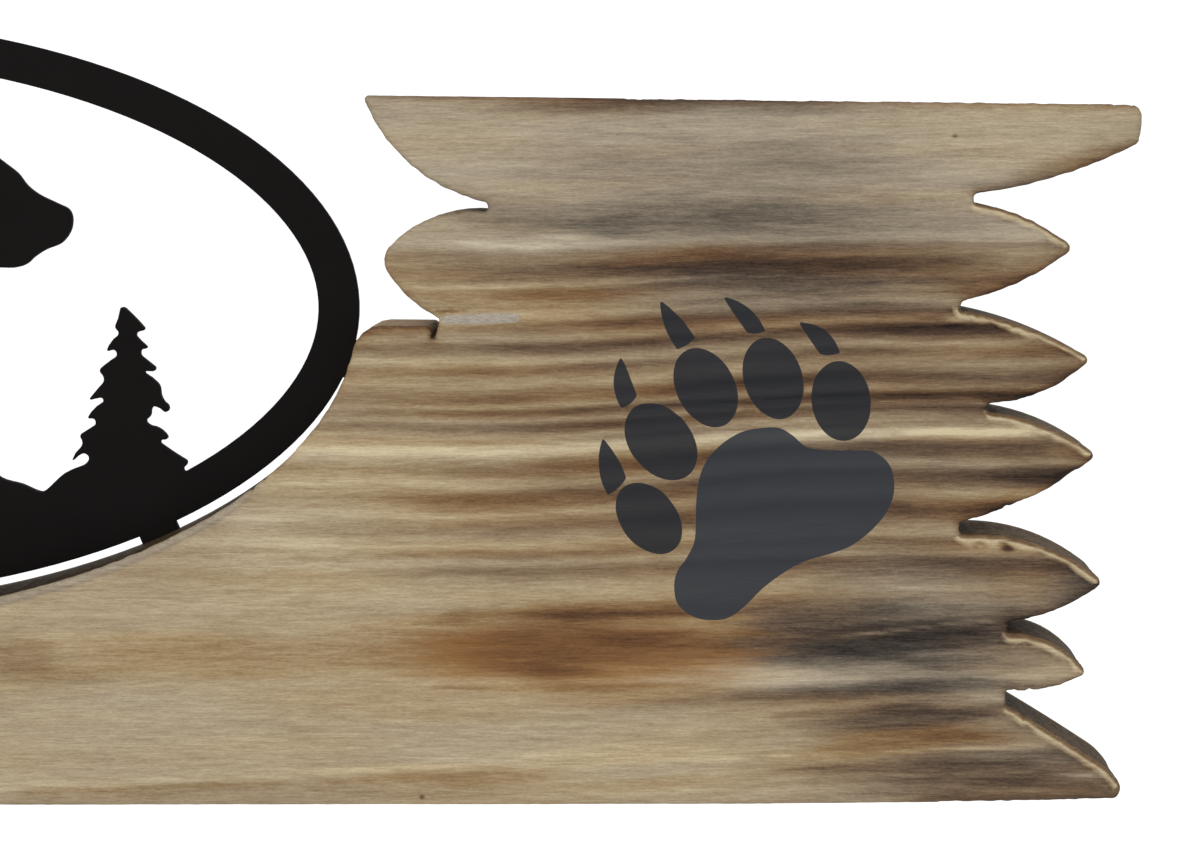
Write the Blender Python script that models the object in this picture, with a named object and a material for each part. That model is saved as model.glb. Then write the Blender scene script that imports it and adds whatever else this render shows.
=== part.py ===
"""Wall plaque: a wide pine board, sawn to long splinters at both ends and scooped out in the
middle, round an oval of black sheet steel that is cut as a bear walking between pines.

Outlines are drawn in millimetres on the wall's plane, X to the right and Z up, from the centre of
the oval. The model itself is in metres. Its origin is on the flat back of the board, in the middle
of the band of wood that runs below the oval, and the front faces -Y.
"""

from math import atan2, ceil, cos, hypot, pi, radians, sin

import bmesh
import bpy
from mathutils import Vector

MM = 0.001
OBJECT_NAME = "bear_wall_plaque"

# The oval's centre stands this far above the origin.
OVAL_HEIGHT = 132.7

# The steel sheet, flush with the back of the board.
OVAL_HALF_WIDTH = 198.4
OVAL_HALF_HEIGHT = 100.0
BAND_WIDTH = 13.4
STEEL_THICK = 2.0
LUG_ANGLES = (-10.0, -49.3, -130.7, -170.0)
LUG_WIDTH = 13.4
LUG_REACH = 13.0

# The board: a nominal one-by-ten, so 19 mm by 235 mm.
BOARD_THICK = 19.0
BOARD_BOTTOM = -163.2
SAW_GAP = 2.8
FRONT_EASING = 0.9
EASING_STEPS = 2
LUG_POCKET_GAP = 0.4
POCKET_HEADROOM = 0.3

# A pocket starts this far inside the oval's rim, so that it always opens into the scoop.
POCKET_START = 8.0

# Points this close to a plane, in metres, lie on it. Only the two flat faces have more corners.
LEVEL = 1e-6
CAP_CORNERS = 100

# How far a rounded corner runs along each of its two sides.
TIP_EASE = 2.7
NOTCH_EASE = 0.9
HEAD_EASE = 4.2
LOBE_EASE = 5.0
SHOULDER_EASE = 8.0
LASER_EASE = 0.9
PINE_EASE = 1.4
EASE_SHARE = 0.45

# Longest straight stretch that stands for a curve.
SIDE_STEP = 4.0
OVAL_STEPS = 144
CORNER_STEPS = 4
SPLINE_STEPS = 4

# The splinters of an end, from the bottom up. A notch is how far out its floor lies, the height of
# its middle and how tall its floor is. A tip is its place and how far the splinter's lower and
# upper sides swell out. A foot is its lower corner, its end and its knee, and the swell above it. A
# head is its two corners and the swell below it.
RIGHT_NOTCHES = (
    (417.0, -127.5, 4.6),
    (417.4, -104.2, 3.4),
    (401.6, -71.3, 3.8),
    (411.0, -31.3, 2.4),
    (402.4, 2.5, 2.6),
    (406.6, 38.2, 2.6),
)
RIGHT_TIPS = (
    (444.4, -119.3, 2.1, 3.7),
    (449.7, -89.1, 2.6, 5.1),
    (447.5, -47.0, 3.0, 2.6),
    (445.6, -15.1, 3.8, 2.2),
    (439.9, 21.7, 2.5, 2.6),
)
RIGHT_FOOT = ((454.2, -161.0), (455.5, -156.2), (451.0, -151.0), 0.3)
RIGHT_HEAD = ((461.7, 56.5), (462.5, 69.6), 2.5)

LEFT_NOTCHES = (
    (408.4, -124.6, 3.8),
    (414.0, -92.2, 3.6),
    (402.5, -50.4, 3.4),
    (409.2, -9.8, 3.4),
    (403.6, 34.2, 3.2),
)
LEFT_TIPS = (
    (446.8, -109.4, 2.2, 3.4),
    (449.4, -70.6, 2.6, 3.6),
    (445.0, -29.4, 3.0, 2.8),
    (441.8, 13.6, 2.6, 3.0),
)
LEFT_FOOT = ((455.6, -161.2), (456.8, -155.4), (451.6, -149.6), 0.7)
LEFT_HEAD = ((459.6, 54.6), (460.4, 69.8), 2.2)

# The bottom edge bends up a little towards both ends, at these corners.
BOTTOM_BENDS = ((330.0, -162.8), (405.0, -162.1))

# The edge that faces the oval, on the right: the overhanging tip, the swell below it, the cleft,
# the lobe's nose with the swells above and below it, the saw's slip at the foot of the lobe, and
# the shoulder beside the oval.
UPPER_TIP = (202.7, 72.6)
UPPER_SWELL = 7.0
CLEFT = (244.6, 35.3)
CLEFT_TALL = 2.2
LOBE_NOSE = (208.5, 18.4)
LOBE_SWELLS = (5.5, 2.4)
LOBE_FOOT = (228.5, -1.8)
SLIP_END = (227.2, -8.2)
SLIP_WIDE = 1.1
SLIP_TOP = (226.6, -4.1)
SHOULDER = (201.2, -3.9)
SHOULDER_LOW = -14.0

# The pine, from its foot on the ground, up over its tip and down to the band: how far each corner
# lies from the stem, towards the band, and how far below the tip, and how far the side that follows
# is hollowed. A negative hollow is a swell.
PINE_TIP = (117.3, -0.1)
PINE = (
    (-12.8, 53.5, 0.2),
    (-11.2, 50.9, 0.0),
    (-13.2, 49.4, 0.4),
    (-17.8, 53.0, -0.6),
    (-13.5, 46.6, 0.3),
    (-15.1, 43.5, 0.0),
    (-9.0, 39.6, 0.0),
    (-9.6, 37.7, 0.1),
    (-12.4, 38.0, -0.7),
    (-6.4, 31.8, 0.0),
    (-7.0, 30.5, 0.1),
    (-12.0, 31.7, -0.1),
    (-6.0, 24.6, 0.3),
    (-8.4, 21.2, -0.2),
    (-1.7, 16.1, 0.0),
    (-2.5, 14.0, 0.2),
    (-5.8, 15.2, -0.8),
    (-0.9, 8.6, 0.2),
    (-2.9, 6.7, 0.3),
    (-0.7, -0.5, 0.0),
    (0.5, -0.4, -0.2),
    (8.1, 7.5, 0.3),
    (3.8, 8.7, 0.2),
    (9.1, 13.8, 0.1),
    (6.1, 14.1, 0.0),
    (5.9, 16.0, 0.0),
    (11.3, 20.3, 0.0),
    (10.9, 21.6, 0.1),
    (6.5, 21.6, -0.3),
    (12.6, 26.2, -0.1),
    (13.0, 30.0, 0.4),
    (16.1, 33.6, -0.1),
    (15.1, 36.1, 0.5),
    (10.1, 33.2, 0.2),
    (9.6, 37.0, 0.0),
    (7.5, 38.5, 0.0),
    (9.2, 40.2, -0.2),
    (12.8, 41.2, -0.3),
    (16.0, 45.0, 0.3),
    (12.0, 45.6, 0.2),
    (22.6, 52.6, -0.2),
    (20.6, 54.8, 0.0),
    (21.6, 56.0, 0.0),
)
FAR_PINE_TIP = (143.0, -2.5)
FAR_PINE_SCALE = 0.75

# The band's inner edge runs beside the oval's rim, but its middle lies this far off.
BAND_SHIFT = (-0.5, 0.1)

# The bear and the ground, as smooth curves.
GROUND_LEFT = ((-133.4, -43.0), (-128.5, -46.4), (-121.5, -53.6), (-114.8, -56.4))
HIND_QUARTER = (
    (-114.8, -56.4),
    (-111.6, -52.6),
    (-110.2, -45.0),
    (-112.2, -36.0),
    (-110.2, -26.0),
    (-112.6, -13.0),
    (-116.2, 2.0),
    (-116.4, 18.0),
    (-118.8, 23.4),
    (-117.4, 28.8),
    (-113.0, 33.0),
)
BACK = (
    (-113.0, 33.0),
    (-107.5, 43.0),
    (-95.0, 51.8),
    (-76.0, 56.2),
    (-50.0, 56.8),
    (-25.0, 57.2),
    (-5.0, 61.6),
    (12.0, 65.2),
    (27.0, 64.0),
    (37.0, 61.0),
    (43.2, 62.4),
)
EAR = ((43.2, 62.4), (44.2, 67.6), (48.6, 71.2), (54.2, 70.2), (58.4, 63.8))
FACE = (
    (58.4, 63.8),
    (66.4, 57.9),
    (75.2, 51.0),
    (81.0, 46.5),
    (84.2, 42.4),
    (88.4, 39.1),
    (94.8, 36.0),
    (98.6, 34.0),
    (99.9, 30.6),
    (99.1, 26.2),
    (96.0, 22.3),
    (90.8, 20.1),
    (86.9, 17.6),
    (84.2, 15.2),
    (80.2, 13.9),
    (73.0, 13.7),
    (65.0, 10.6),
)
CHEST_AND_PAW = (
    (65.0, 10.6),
    (60.0, 3.0),
    (60.4, -9.0),
    (62.6, -22.0),
    (65.0, -35.0),
    (67.6, -46.0),
    (71.0, -53.6),
    (75.4, -58.3),
    (82.6, -60.4),
    (88.2, -62.8),
    (91.2, -62.2),
    (97.4, -56.6),
    (104.5, -53.6),
)
LEG_GAPS = {
    "hind": (
        (-80.0, -57.4),
        (-84.6, -53.0),
        (-91.0, -47.0),
        (-91.6, -39.0),
        (-86.0, -29.6),
        (-78.6, -22.6),
        (-73.4, -25.4),
        (-68.6, -33.4),
        (-64.6, -42.0),
        (-64.2, -50.0),
        (-66.6, -57.6),
    ),
    "belly": (
        (-35.0, -58.2),
        (-40.4, -53.6),
        (-44.6, -47.4),
        (-44.4, -39.0),
        (-39.8, -30.0),
        (-32.0, -23.4),
        (-18.0, -19.6),
        (-3.0, -19.0),
        (8.0, -21.4),
        (13.6, -28.0),
        (12.6, -38.0),
        (9.8, -48.0),
        (9.4, -53.0),
        (7.0, -58.4),
    ),
    "front": (
        (37.4, -59.0),
        (33.0, -54.4),
        (29.0, -49.0),
        (28.4, -40.0),
        (31.0, -31.4),
        (36.0, -26.4),
        (41.8, -28.8),
        (46.0, -36.4),
        (49.0, -45.0),
        (51.2, -52.0),
        (50.6, -59.0),
    ),
}

PINE_COLOUR = (0.40, 0.31, 0.22, 1.0)
BLACK_COLOUR = (0.012, 0.012, 0.013, 1.0)


def clear_scene():
    """Leaves an empty file to build in."""
    for old in list(bpy.data.objects):
        bpy.data.objects.remove(old, do_unlink=True)


def make_collection(name):
    """A collection of its own, linked to the scene."""
    made = bpy.data.collections.new(name)
    bpy.context.scene.collection.children.link(made)
    return made


def make_material(name, colour, roughness, metallic):
    """A Principled material of one colour."""
    material = bpy.data.materials.new(name)
    material.use_nodes = True
    shader = material.node_tree.nodes["Principled BSDF"]
    shader.inputs["Base Color"].default_value = colour
    shader.inputs["Roughness"].default_value = roughness
    shader.inputs["Metallic"].default_value = metallic
    material.diffuse_color = colour
    return material


def mirrored(point):
    """The same point on the other side of the oval."""
    return (-point[0], point[1])


def swelling_side(start, end, swell):
    """Points from start to end that swell out to the right of the way, as a shallow arc."""
    start = Vector(start)
    chord = Vector(end) - start
    if swell == 0.0:
        return [start, start + chord]
    right = Vector((chord.y, -chord.x)).normalized()
    count = max(2, ceil(chord.length / SIDE_STEP))
    side = []
    for step in range(count + 1):
        part = step / count
        side.append(start + chord * part + right * (swell * 4.0 * part * (1.0 - part)))
    return side


def smooth_side(points):
    """Points of a Catmull-Rom curve through the given ones."""
    knots = [Vector(point) for point in points]
    ends = [knots[0] * 2.0 - knots[1], knots[-1] * 2.0 - knots[-2]]
    knots = [ends[0]] + knots + [ends[1]]
    side = []
    for before, here, there, after in zip(knots, knots[1:], knots[2:], knots[3:]):
        for step in range(SPLINE_STEPS):
            part = step / SPLINE_STEPS
            side.append(
                0.5
                * (
                    here * 2.0
                    + (there - before) * part
                    + (before * 2.0 - here * 5.0 + there * 4.0 - after) * part**2
                    + (here * 3.0 - before - there * 3.0 + after) * part**3
                )
            )
    side.append(knots[-2])
    return side


def oval_point(angle, outward):
    """A point beside the oval's rim: angle is the ellipse's own, in radians."""
    across = Vector((OVAL_HALF_HEIGHT * cos(angle), OVAL_HALF_WIDTH * sin(angle))).normalized()
    rim = Vector((OVAL_HALF_WIDTH * cos(angle), OVAL_HALF_HEIGHT * sin(angle)))
    return rim + across * outward


def oval_side(first, last, outward):
    """Points beside the rim from one angle to another."""
    count = max(2, ceil(abs(last - first) / (2.0 * pi) * OVAL_STEPS))
    return [oval_point(first + (last - first) * step / count, outward) for step in range(count + 1)]


def oval_angle(outward, place, axis, low, high):
    """The angle at which the line beside the rim reaches a place along one axis."""
    rising = oval_point(high, outward)[axis] > oval_point(low, outward)[axis]
    for _ in range(50):
        middle = 0.5 * (low + high)
        if (oval_point(middle, outward)[axis] < place) == rising:
            low = middle
        else:
            high = middle
    return 0.5 * (low + high)


def cut_back(side, reach):
    """The side without its first stretch of the given length."""
    left = reach
    for index in range(len(side) - 1):
        step = side[index + 1] - side[index]
        if left < step.length:
            return [side[index] + step * (left / step.length)] + side[index + 1 :]
        left -= step.length
    raise ValueError("a corner is eased further than its side is long")


def side_length(side):
    """Length of a side from point to point."""
    return sum((there - here).length for here, there in zip(side, side[1:]))


def corner_arc(start, corner, end):
    """Points of a circle's arc between two places on the legs of a corner, without these two."""
    weight = sin(0.5 * (start - corner).angle(end - corner))
    arc = []
    for step in range(1, CORNER_STEPS):
        part = step / CORNER_STEPS
        shares = ((1.0 - part) ** 2, 2.0 * weight * part * (1.0 - part), part**2)
        place = start * shares[0] + corner * shares[1] + end * shares[2]
        arc.append(place / sum(shares))
    return arc


def closed_outline(sides, wished_eases):
    """Joins sides end to end. Each ease rounds the corner where the side of its number starts. Two
    corners that share a side take at most a fixed share of it each, a lone one twice that."""
    room = []
    for index, side in enumerate(sides):
        both = wished_eases[index] and wished_eases[(index + 1) % len(sides)]
        share = EASE_SHARE if both else 2.0 * EASE_SHARE
        room.append(share * side_length(side))
    eases = [min(wish, room[index - 1], room[index]) for index, wish in enumerate(wished_eases)]
    shorter = []
    for index, side in enumerate(sides):
        ahead = eases[(index + 1) % len(sides)]
        cut = cut_back(side, eases[index]) if eases[index] else list(side)
        cut = cut_back(cut[::-1], ahead)[::-1] if ahead else cut
        shorter.append(cut)
    outline = []
    for index, side in enumerate(shorter):
        outline.extend(side if eases[index] else side[1:])
        following = (index + 1) % len(sides)
        if not eases[following]:
            continue
        outline.extend(corner_arc(side[-1], sides[following][0], shorter[following][0]))
    return outline


def splinter_end(notches, tips, foot, head):
    """Corners of a sawn end from the bottom up, each with its ease and the swell that follows."""
    low_corner, foot_end, knee, foot_swell = foot
    underside, high_corner, head_swell = head
    corners = [(low_corner, TIP_EASE, 0.0), (foot_end, TIP_EASE, 0.0), (knee, TIP_EASE, foot_swell)]
    for index, (floor, middle, tall) in enumerate(notches):
        corners.append(((floor, middle - tall / 2.0), NOTCH_EASE, 0.0))
        if index < len(tips):
            x, z, below, above = tips[index]
            corners.append(((floor, middle + tall / 2.0), NOTCH_EASE, below))
            corners.append(((x, z), TIP_EASE, above))
        else:
            corners.append(((floor, middle + tall / 2.0), NOTCH_EASE, head_swell))
    corners.append((underside, TIP_EASE, 0.0))
    corners.append((high_corner, HEAD_EASE, 0.0))
    return corners


def oval_edge():
    """Corners of the right-hand edge that faces the oval, from its overhanging tip down."""
    slip = Vector(SLIP_END) - Vector(LOBE_FOOT)
    aside = Vector((slip.y, -slip.x)).normalized() * SLIP_WIDE
    return [
        (UPPER_TIP, TIP_EASE, UPPER_SWELL),
        ((CLEFT[0], CLEFT[1] + CLEFT_TALL / 2.0), NOTCH_EASE, 0.0),
        ((CLEFT[0], CLEFT[1] - CLEFT_TALL / 2.0), NOTCH_EASE, LOBE_SWELLS[0]),
        (LOBE_NOSE, LOBE_EASE, LOBE_SWELLS[1]),
        (LOBE_FOOT, 0.0, 0.0),
        (SLIP_END, 0.0, 0.0),
        (tuple(Vector(SLIP_END) + aside), 0.0, 0.0),
        (SLIP_TOP, TIP_EASE, 0.0),
        (SHOULDER, SHOULDER_EASE, 0.0),
    ]


def far_side(corners):
    """The same corners on the left, in the order that keeps the way round."""
    turned = []
    for index in range(len(corners) - 1, -1, -1):
        point, ease, _ = corners[index]
        swell = corners[index - 1][2] if index else 0.0
        turned.append((mirrored(point), ease, swell))
    return turned


def board_outline():
    """The board from the front, anticlockwise from its bottom right-hand corner."""
    near = splinter_end(RIGHT_NOTCHES, RIGHT_TIPS, RIGHT_FOOT, RIGHT_HEAD) + oval_edge()
    far = far_side(splinter_end(LEFT_NOTCHES, LEFT_TIPS, LEFT_FOOT, LEFT_HEAD) + oval_edge())
    start = oval_angle(SAW_GAP, SHOULDER_LOW, 1, -pi / 2.0, 0.0)
    scoop = oval_side(start, -pi - start, SAW_GAP)
    near.append((tuple(scoop[0]), 0.0, None))
    corners = near + [(tuple(scoop[-1]), 0.0, 0.0)] + far
    bends = [mirrored(bend) for bend in BOTTOM_BENDS[::-1]]
    bottom = bends + [(0.0, BOARD_BOTTOM)] + list(BOTTOM_BENDS)
    corners += [(point, 0.0, 0.0) for point in bottom]
    sides = []
    for index, (point, _, swell) in enumerate(corners):
        following = corners[(index + 1) % len(corners)][0]
        sides.append(scoop if swell is None else swelling_side(point, following, swell))
    return closed_outline(sides, [ease for _, ease, _ in corners])


def lug_frame(angle):
    """Middle of a lug's root on the rim and the way that the lug points."""
    root = oval_point(radians(angle), 0.0)
    return root, (oval_point(radians(angle), 1.0) - root).normalized()


def rim_outline():
    """The oval's outer edge, with its lugs."""
    outline = []
    half_turns = []
    for angle in LUG_ANGLES:
        middle = radians(angle)
        stretch = hypot(OVAL_HALF_WIDTH * sin(middle), OVAL_HALF_HEIGHT * cos(middle))
        half_turns.append((middle, LUG_WIDTH / 2.0 / stretch))
    order = sorted(range(len(LUG_ANGLES)), key=lambda index: -half_turns[index][0])
    for place, index in enumerate(order):
        middle, half = half_turns[index]
        following, next_half = half_turns[order[(place + 1) % len(order)]]
        if following > middle:
            following -= 2.0 * pi
        root, way = lug_frame(LUG_ANGLES[index])
        aside = Vector((way.y, -way.x)) * (LUG_WIDTH / 2.0)
        outline.append(root + way * LUG_REACH - aside)
        outline.append(root + way * LUG_REACH + aside)
        outline.extend(oval_side(middle - half, following + next_half, 0.0))
    return outline


def pine_sides(tip, scale):
    """Sides of a pine to the right of the oval's middle, from its foot on the ground to the band."""
    corners = [Vector((tip[0] + out * scale, tip[1] - down * scale)) for out, down, _ in PINE]
    hollows = [hollow * scale for _, _, hollow in PINE]
    return [swelling_side(*pair) for pair in zip(corners, corners[1:], hollows)]


def sky_outline():
    """The large opening: the inside of the band, then the pines, the bear and the ground."""
    near = pine_sides(PINE_TIP, 1.0)
    far = pine_sides(FAR_PINE_TIP, FAR_PINE_SCALE)
    far = [[Vector(mirrored(point)) for point in side[::-1]] for side in far[::-1]]
    first = oval_angle(-BAND_WIDTH, near[-1][-1].x, 0, -pi / 2.0, 0.0)
    last = oval_angle(-BAND_WIDTH, far[0][0].x, 0, pi, 1.5 * pi)
    band = [point + Vector(BAND_SHIFT) for point in oval_side(first, last, -BAND_WIDTH)]
    curves = (GROUND_LEFT, HIND_QUARTER, BACK, EAR, FACE, CHEST_AND_PAW)
    drawn = [smooth_side(points) for points in curves]
    joined = drawn[0]
    for side in drawn[1:]:
        joined = joined + side[1:]
    far[0][0] = band[-1]
    near[0][0] = joined[-1]
    near[-1][-1] = band[0]
    sides = [band] + far + [[far[-1][-1], joined[0]], joined] + near
    eases = [LASER_EASE] + [PINE_EASE] * (len(far) + 1) + [0.0] + [PINE_EASE] * len(near)
    return closed_outline(sides, eases)


def leg_gap_outline(points):
    """One opening between two legs, closed along the ground."""
    side = smooth_side(points)
    return closed_outline([side, [side[-1], side[0]]], [LASER_EASE, LASER_EASE])


def cut_sheet(name, outlines, thick, back):
    """A flat piece with the given outlines, the first its edge and the others its openings."""
    curve = bpy.data.curves.new(name, "CURVE")
    curve.dimensions = "2D"
    curve.fill_mode = "BOTH"
    curve.extrude = thick * MM / 2.0
    for outline in outlines:
        spline = curve.splines.new("POLY")
        spline.points.add(len(outline) - 1)
        for drawn, point in zip(spline.points, outline):
            drawn.co = (point[0] * MM, point[1] * MM, 0.0, 1.0)
        spline.use_cyclic_u = True
    flat = bpy.data.objects.new(name, curve)
    flat.rotation_euler = (pi / 2.0, 0.0, 0.0)
    flat.location = (0.0, (back - thick / 2.0) * MM, OVAL_HEIGHT * MM)
    bpy.context.scene.collection.objects.link(flat)
    bpy.context.view_layer.update()
    ready = flat.evaluated_get(bpy.context.evaluated_depsgraph_get())
    mesh = bpy.data.meshes.new_from_object(ready)
    mesh.transform(flat.matrix_world)
    bpy.data.objects.remove(flat, do_unlink=True)
    work = bmesh.new()
    work.from_mesh(mesh)
    bmesh.ops.remove_doubles(work, verts=work.verts, dist=0.00002)
    bmesh.ops.dissolve_limit(work, angle_limit=radians(0.05), verts=work.verts, edges=work.edges)
    bmesh.ops.recalc_face_normals(work, faces=work.faces)
    work.to_mesh(mesh)
    work.free()
    mesh.name = name
    return bpy.data.objects.new(name, mesh)


def ease_front(board):
    """Rounds the edge all round the front face, and leaves the back and the corners sharp."""
    front = -BOARD_THICK * MM
    work = bmesh.new()
    work.from_mesh(board.data)
    rim = [edge for edge in work.edges if all(abs(end.co.y - front) < LEVEL for end in edge.verts)]
    ends = list({end for edge in rim for end in edge.verts})
    bmesh.ops.bevel(
        work,
        geom=rim + ends,
        offset=FRONT_EASING * MM,
        offset_type="OFFSET",
        segments=EASING_STEPS,
        profile=0.5,
        affect="EDGES",
        clamp_overlap=False,
        miter_outer="SHARP",
    )
    caps = [face for face in work.faces if len(face.verts) > CAP_CORNERS]
    bmesh.ops.delete(work, geom=caps, context="FACES_ONLY")
    open_edges = [edge for edge in work.edges if len(edge.link_faces) == 1]
    for level in (front, 0.0):
        loop = [edge for edge in open_edges if abs(edge.verts[0].co.y - level) < LEVEL]
        bmesh.ops.triangle_fill(work, edges=loop, use_beauty=True, use_dissolve=False)
    bmesh.ops.recalc_face_normals(work, faces=work.faces)
    work.to_mesh(board.data)
    work.free()


def lug_pocket(angle, cutters):
    """A shallow pocket in the back of the board for one lug."""
    root, way = lug_frame(angle)
    length = LUG_REACH + LUG_POCKET_GAP + POCKET_START
    middle = root + way * (LUG_REACH + LUG_POCKET_GAP - length / 2.0)
    depth = STEEL_THICK + POCKET_HEADROOM
    bpy.ops.mesh.primitive_cube_add(size=1.0)
    pocket = bpy.context.object
    pocket.name = f"lug_pocket_{int(angle)}"
    pocket.scale = (length * MM, 2.0 * depth * MM, (LUG_WIDTH + 2.0 * LUG_POCKET_GAP) * MM)
    pocket.rotation_euler = (0.0, -atan2(way.y, way.x), 0.0)
    pocket.location = (middle.x * MM, 0.0, (middle.y + OVAL_HEIGHT) * MM)
    pocket.hide_render = True
    pocket.display_type = "WIRE"
    for holder in list(pocket.users_collection):
        holder.objects.unlink(pocket)
    cutters.objects.link(pocket)
    return pocket


def make_board(parts, cutters):
    """The pine board with its eased front edge and the pockets behind."""
    board = cut_sheet("pine_board", [board_outline()], BOARD_THICK, 0.0)
    board.data.materials.append(make_material("pine_board", PINE_COLOUR, 0.7, 0.0))
    parts.objects.link(board)
    ease_front(board)
    for angle in LUG_ANGLES:
        cut = board.modifiers.new(f"lug pocket {int(angle)}", "BOOLEAN")
        cut.operation = "DIFFERENCE"
        cut.solver = "EXACT"
        cut.object = lug_pocket(angle, cutters)
    return board


def make_steel(parts):
    """The sheet-steel oval with the bear, the pines and the ground."""
    outlines = [rim_outline(), sky_outline()]
    outlines += [leg_gap_outline(points) for points in LEG_GAPS.values()]
    steel = cut_sheet("steel_oval", outlines, STEEL_THICK, 0.0)
    steel.data.materials.append(make_material("black_steel", BLACK_COLOUR, 0.55, 0.6))
    parts.objects.link(steel)
    return steel


def main():
    clear_scene()
    parts = make_collection(OBJECT_NAME)
    cutters = make_collection("cutters")
    make_board(parts, cutters)
    make_steel(parts)


main()
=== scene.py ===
# %% [markdown]
# A wall plaque in two pieces: a wide pine board whose ends are sawn into long splinters, and an
# oval of black sheet steel, cut as a bear between pines, that sits in a scoop in the board's middle.
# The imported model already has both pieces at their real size. This script gives them their finish.
# It loads that model as a fixed frame, and every piece made here takes its outline from it.

import math

import bmesh
import bpy
import numpy as np
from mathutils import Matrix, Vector
from mathutils.bvhtree import BVHTree
from mathutils.geometry import delaunay_2d_cdt


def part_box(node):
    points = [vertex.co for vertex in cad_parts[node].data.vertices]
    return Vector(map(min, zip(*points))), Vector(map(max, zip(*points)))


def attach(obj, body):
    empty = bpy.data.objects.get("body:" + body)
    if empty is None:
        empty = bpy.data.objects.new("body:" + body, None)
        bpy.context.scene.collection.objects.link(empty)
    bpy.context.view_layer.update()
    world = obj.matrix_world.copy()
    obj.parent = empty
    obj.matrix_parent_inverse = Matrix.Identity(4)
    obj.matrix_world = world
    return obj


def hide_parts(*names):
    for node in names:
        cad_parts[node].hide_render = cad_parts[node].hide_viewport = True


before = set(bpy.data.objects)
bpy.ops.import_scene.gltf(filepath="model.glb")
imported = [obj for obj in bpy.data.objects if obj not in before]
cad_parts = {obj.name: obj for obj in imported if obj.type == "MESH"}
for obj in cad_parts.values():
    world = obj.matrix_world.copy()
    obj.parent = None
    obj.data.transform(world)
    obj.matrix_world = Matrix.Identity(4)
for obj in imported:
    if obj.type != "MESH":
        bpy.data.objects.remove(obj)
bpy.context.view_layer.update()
print("nodes:", sorted(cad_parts))

# %% [markdown]
# The frame is in metres, but a maker thinks of wood in millimetres. So the shapes below are worked
# out in millimetres: u runs along the board from the oval's middle, v runs up, and y runs from the
# front to the wall. Only the last step, making the mesh, turns them into metres.

# %% Millimetres
MM = 0.001


def size_of(node):
    """The lowest and highest corner of a node, in millimetres."""
    low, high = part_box(node)
    return np.array(low) / MM, np.array(high) / MM


BOARD_LOW, BOARD_HIGH = size_of("pine_board")
STEEL_LOW, STEEL_HIGH = size_of("steel_oval")
FRONT = BOARD_LOW[1]
BACK = BOARD_HIGH[1]
print(f"board {BOARD_HIGH - BOARD_LOW} mm, steel {STEEL_HIGH - STEEL_LOW} mm")

# %% [markdown]
# Both pieces are cut from flat stock, so one outline says nearly everything about their form. It is
# read from the node: what lies in front of a level plane is sliced off, and the open rim that is
# left gives the outline, in order. Each edge of the rim belongs to one face, whose direction tells
# on which side the material is. So the order always has the material on its left, seen from the
# front, around holes too.


# %% Slice a node and follow its rim
SAME_POINT = 0.001
RIM_WELD = 0.15


def sliced(node, level):
    """What lies behind the plane y = level of a node, open in front, in millimetres."""
    body = bmesh.new()
    body.from_mesh(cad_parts[node].data)
    bmesh.ops.scale(body, vec=(1 / MM, 1 / MM, 1 / MM), verts=body.verts)
    bmesh.ops.remove_doubles(body, verts=body.verts, dist=SAME_POINT)
    everything = body.verts[:] + body.edges[:] + body.faces[:]
    bmesh.ops.bisect_plane(
        body, geom=everything, plane_co=(0, level, 0), plane_no=(0, -1, 0), clear_outer=True
    )
    rim = [v for v in body.verts if v.is_boundary]
    bmesh.ops.remove_doubles(body, verts=rim, dist=RIM_WELD)
    return body


def rim_loops(body):
    """The vertices of each open rim, in order, with the material on the left."""
    after = {}
    for edge in body.edges:
        if edge.is_boundary:
            corner = edge.link_loops[0]
            after[corner.link_loop_next.vert] = corner.vert
    loops = []
    while after:
        start, vert = after.popitem()
        loop = [start]
        while vert is not start:
            loop.append(vert)
            vert = after.pop(vert)
        loops.append(loop)
    return loops


def flat(loop):
    """The (u, v) of a loop of vertices."""
    return np.array([(vert.co.x, vert.co.z) for vert in loop])


# %% [markdown]
# Four small tools work on outlines: one puts points in long straight runs, one says which way the
# material lies, one tests which points are inside, and one measures how far a point is from the
# edge and which way that edge faces. The last stands a thin wall on the outline and asks Blender's
# own search tree for the nearest spot on it, which is quick for a hundred thousand points.


# %% Tools for outlines
def with_points(loop, step):
    """The loop with its long runs divided, so that neighbours are at most step apart."""
    points = []
    for here, there in zip(loop, np.roll(loop, -1, axis=0)):
        count = max(1, math.ceil(np.linalg.norm(there - here) / step))
        points += [here + (there - here) * k / count for k in range(count)]
    return np.array(points)


def into_material(loop):
    """The direction from each point of a loop into the material."""
    along = np.roll(loop, -1, axis=0) - np.roll(loop, 1, axis=0)
    across = np.column_stack([-along[:, 1], along[:, 0]])
    return across / np.linalg.norm(across, axis=1, keepdims=True)


def inside(points, loops):
    """Whether each point has an odd number of edges to its right."""
    start = np.concatenate(loops)
    end = np.concatenate([np.roll(loop, -1, axis=0) for loop in loops])
    found = []
    for part in np.array_split(points, max(1, len(points) // 2000)):
        u, v = part[:, :1], part[:, 1:]
        spans = (start[:, 1] > v) != (end[:, 1] > v)
        rise = np.where(end[:, 1] == start[:, 1], 1, end[:, 1] - start[:, 1])
        crossing = start[:, 0] + (v - start[:, 1]) * (end[:, 0] - start[:, 0]) / rise
        found.append(np.sum(spans & (crossing > u), axis=1) % 2 == 1)
    return np.concatenate(found)


def edge_finder(loops):
    """A search tree of a thin wall that stands on the loops and faces out of the material."""
    verts, quads = [], []
    for loop in loops:
        first = len(verts)
        verts += [(u, y, v) for u, v in loop for y in (1, -1)]
        for i in range(len(loop)):
            a, b = first + 2 * i, first + 2 * ((i + 1) % len(loop))
            quads.append((a, b, b + 1, a + 1))
    return BVHTree.FromPolygons(verts, quads)


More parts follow.
